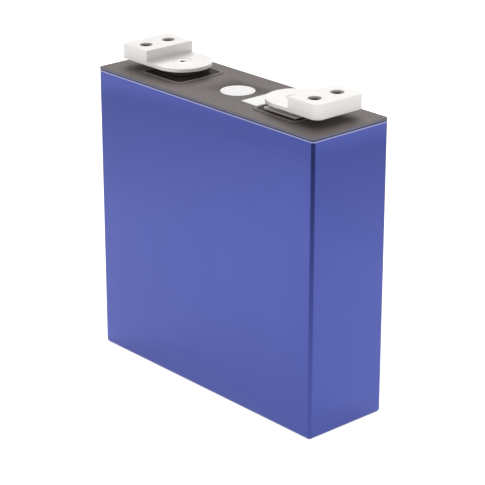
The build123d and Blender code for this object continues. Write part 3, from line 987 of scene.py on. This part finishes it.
for pole_name, side in (("positive", -1), ("negative", 1)):
    low, high = (Vector(corner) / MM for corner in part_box(f"{pole_name}_terminal"))
    outer = max(abs(low.x), abs(high.x))
    inner = outer - BLOCK_LENGTH
    plate_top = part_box(f"{pole_name}_pole")[1][2] / MM
    plate_outline = []
    for i in range(PLATE_STEPS + 1):
        angle = math.pi / 2 + math.pi * i / PLATE_STEPS
        plate_outline.append((seat_x + PLATE_R * math.cos(angle), PLATE_R * math.sin(angle)))
    plate_outline += [(inner + PLATE_OVERLAP, -PLATE_R), (inner + PLATE_OVERLAP, PLATE_R)]
    block_outline = [(inner, PLATE_R), (inner, -PLATE_R)]
    block_outline += corner_points(outer - WIDE_R, -PLATE_R + WIDE_R, WIDE_R, 3, CORNER_STEPS)
    block_outline += corner_points(outer - NARROW_R, PLATE_R - NARROW_R, NARROW_R, 0, CORNER_STEPS)
    block_shape = half_turn(block_outline, side)
    terminal = outline_solid(f"{pole_name}_terminal_block", block_shape, low.z, high.z, blasted_aluminium)
    plate = outline_solid("plate", half_turn(plate_outline, side), low.z, plate_top, blasted_aluminium)
    combine(terminal, plate, "UNION")
    combine(terminal, root_fillet(side, inner, plate_top), "UNION")
    hole_x = side * (outer - HOLE_FROM_END)
    for offset in (-HOLE_SPACING / 2, HOLE_SPACING / 2):
        drill(terminal, hole_x, offset, [
            (SINK_R, high.z + 0.5),
            (SINK_R, high.z),
            (THREAD_R, high.z - SINK_DEPTH),
            (THREAD_R, high.z - HOLE_DEPTH),
        ], high.z)
    drill(terminal, side * seat_x, 0.0, [(POLE_R, plate_top + 0.5), (POLE_R, low.z - 0.5)], low.z)
    round_edges(terminal, BLOCK_EDGE, 3, 35.0)
    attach(terminal, "root")
    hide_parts(f"{pole_name}_terminal")


# ---------------------------------------------------------------------------
# Threads: M6 thread cut in each hole of the blocks, one object for each
# terminal, a helical ridge swept along a spiral and repeated at the spacing.
# ---------------------------------------------------------------------------
THREAD_RIDGE = 0.5
THREAD_TURNS = 5.0
THREAD_LENGTH = 5.0
THREAD_LIFT = 0.4


def add_input(tree, name, kind, value):
    """Named input of a Geometry Nodes tree."""
    socket = tree.interface.new_socket(name=name, in_out="INPUT", socket_type=kind)
    socket.default_value = value
    return socket


def thread_tree(material):
    """Geometry Nodes tree: a triangular ridge along a helix, at two points in line."""
    tree = bpy.data.node_groups.new("tapped_threads", "GeometryNodeTree")
    add_input(tree, "Radius", "NodeSocketFloat", THREAD_R * MM)
    add_input(tree, "Ridge", "NodeSocketFloat", THREAD_RIDGE * MM)
    add_input(tree, "Turns", "NodeSocketFloat", THREAD_TURNS)
    add_input(tree, "Depth", "NodeSocketFloat", THREAD_LENGTH * MM)
    add_input(tree, "Spacing", "NodeSocketFloat", HOLE_SPACING * MM)
    add_input(tree, "Place", "NodeSocketVector", (0.0, 0.0, 0.0))
    tree.interface.new_socket(name="Geometry", in_out="OUTPUT", socket_type="NodeSocketGeometry")
    nodes = tree.nodes
    links = tree.links
    inputs = nodes.new("NodeGroupInput")
    outputs = nodes.new("NodeGroupOutput")
    helix = nodes.new("GeometryNodeCurveSpiral")
    helix.inputs["Resolution"].default_value = 36
    links.new(inputs.outputs["Turns"], helix.inputs["Rotations"])
    links.new(inputs.outputs["Radius"], helix.inputs["Start Radius"])
    links.new(inputs.outputs["Radius"], helix.inputs["End Radius"])
    links.new(inputs.outputs["Depth"], helix.inputs["Height"])
    upright = nodes.new("GeometryNodeSetCurveNormal")
    upright.mode = "Z_UP"
    links.new(helix.outputs["Curve"], upright.inputs["Curve"])
    ridge = nodes.new("GeometryNodeCurvePrimitiveCircle")
    ridge.inputs["Resolution"].default_value = 4
    links.new(inputs.outputs["Ridge"], ridge.inputs["Radius"])
    sweep = nodes.new("GeometryNodeCurveToMesh")
    sweep.inputs["Fill Caps"].default_value = True
    links.new(upright.outputs["Curve"], sweep.inputs["Curve"])
    links.new(ridge.outputs["Curve"], sweep.inputs["Profile Curve"])
    step = nodes.new("ShaderNodeCombineXYZ")
    links.new(inputs.outputs["Spacing"], step.inputs["Y"])
    holes = nodes.new("GeometryNodeMeshLine")
    holes.inputs["Count"].default_value = 2
    links.new(inputs.outputs["Place"], holes.inputs["Start Location"])
    links.new(step.outputs["Vector"], holes.inputs["Offset"])
    repeat = nodes.new("GeometryNodeInstanceOnPoints")
    links.new(holes.outputs["Mesh"], repeat.inputs["Points"])
    links.new(sweep.outputs["Mesh"], repeat.inputs["Instance"])
    real = nodes.new("GeometryNodeRealizeInstances")
    links.new(repeat.outputs["Instances"], real.inputs["Geometry"])
    finish = nodes.new("GeometryNodeSetMaterial")
    finish.inputs["Material"].default_value = material
    links.new(real.outputs["Geometry"], finish.inputs["Geometry"])
    links.new(finish.outputs["Geometry"], outputs.inputs["Geometry"])
    return tree


def grown_piece(name, tree, material, values):
    """Object made by a Geometry Nodes tree, turned into a plain mesh."""
    piece = bpy.data.objects.new(name, bpy.data.meshes.new(name))
    scene.collection.objects.link(piece)
    growth = piece.modifiers.new("growth", "NODES")
    growth.node_group = tree
    for item in tree.interface.items_tree:
        if item.in_out == "INPUT" and item.name in values:
            growth[item.identifier] = values[item.name]
    apply_modifiers(piece)
    if not piece.data.materials:
        piece.data.materials.append(material)
    return piece


tapped_threads = thread_tree(bore_metal)
for pole_name, side in (("positive", -1), ("negative", 1)):
    low, high = (Vector(corner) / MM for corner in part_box(f"{pole_name}_terminal"))
    outer = max(abs(low.x), abs(high.x))
    thread_start = (high.z - HOLE_DEPTH + THREAD_LIFT) * MM
    place = (side * (outer - HOLE_FROM_END) * MM, -HOLE_SPACING / 2 * MM, thread_start)
    threads = grown_piece(f"{pole_name}_threads", tapped_threads, bore_metal, {"Place": place})
    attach(threads, "root")


# ---------------------------------------------------------------------------
# Poles: turned studs that pass from the collectors through the cover, with
# their ends flush in the terminal plates. The centre has a small dimple.
# ---------------------------------------------------------------------------
FLANGE_R = 11.0
FLANGE_T = 1.6
DIMPLE_R = 1.5
DIMPLE_DEPTH = 1.2
stud_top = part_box("negative_pole")[1][2] / MM
# Painted shade in each pole's dimple.
dimple_metal = bore_material("dimple_metal", stud_top - 0.6, stud_top + 0.1)

for pole_name, side in (("positive", -1), ("negative", 1)):
    low, high = (Vector(corner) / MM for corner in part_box(f"{pole_name}_pole"))
    stud_bm = bmesh.new()
    turned_solid(stud_bm, [
        (0.3, high.z - DIMPLE_DEPTH),
        (DIMPLE_R * 0.75, high.z - DIMPLE_DEPTH * 0.9),
        (DIMPLE_R * 0.95, high.z - 0.35),
        (DIMPLE_R + 0.1, high.z - 0.1),
        (DIMPLE_R + 0.4, high.z),
        (POLE_R - 0.45, high.z),
        (POLE_R - 0.1, high.z - 0.12),
        (POLE_R, high.z - 0.3),
        (POLE_R, low.z + FLANGE_T + 0.2),
        (POLE_R + 0.2, low.z + FLANGE_T),
        (FLANGE_R - 0.2, low.z + FLANGE_T),
        (FLANGE_R, low.z + FLANGE_T - 0.2),
        (FLANGE_R, low.z + 0.2),
        (FLANGE_R - 0.2, low.z),
    ], side * seat_x, 72)
    for face in stud_bm.faces:
        centre = face.calc_center_median()
        reach = math.hypot(centre.x - side * seat_x, centre.y)
        if centre.z > high.z - DIMPLE_DEPTH - 0.1 and reach < DIMPLE_R:
            face.material_index = 1
    stud = new_piece(f"{pole_name}_stud", stud_bm, blasted_aluminium)
    stud.data.materials.append(dimple_metal)
    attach(stud, "root")
    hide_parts(f"{pole_name}_pole")


low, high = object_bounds()
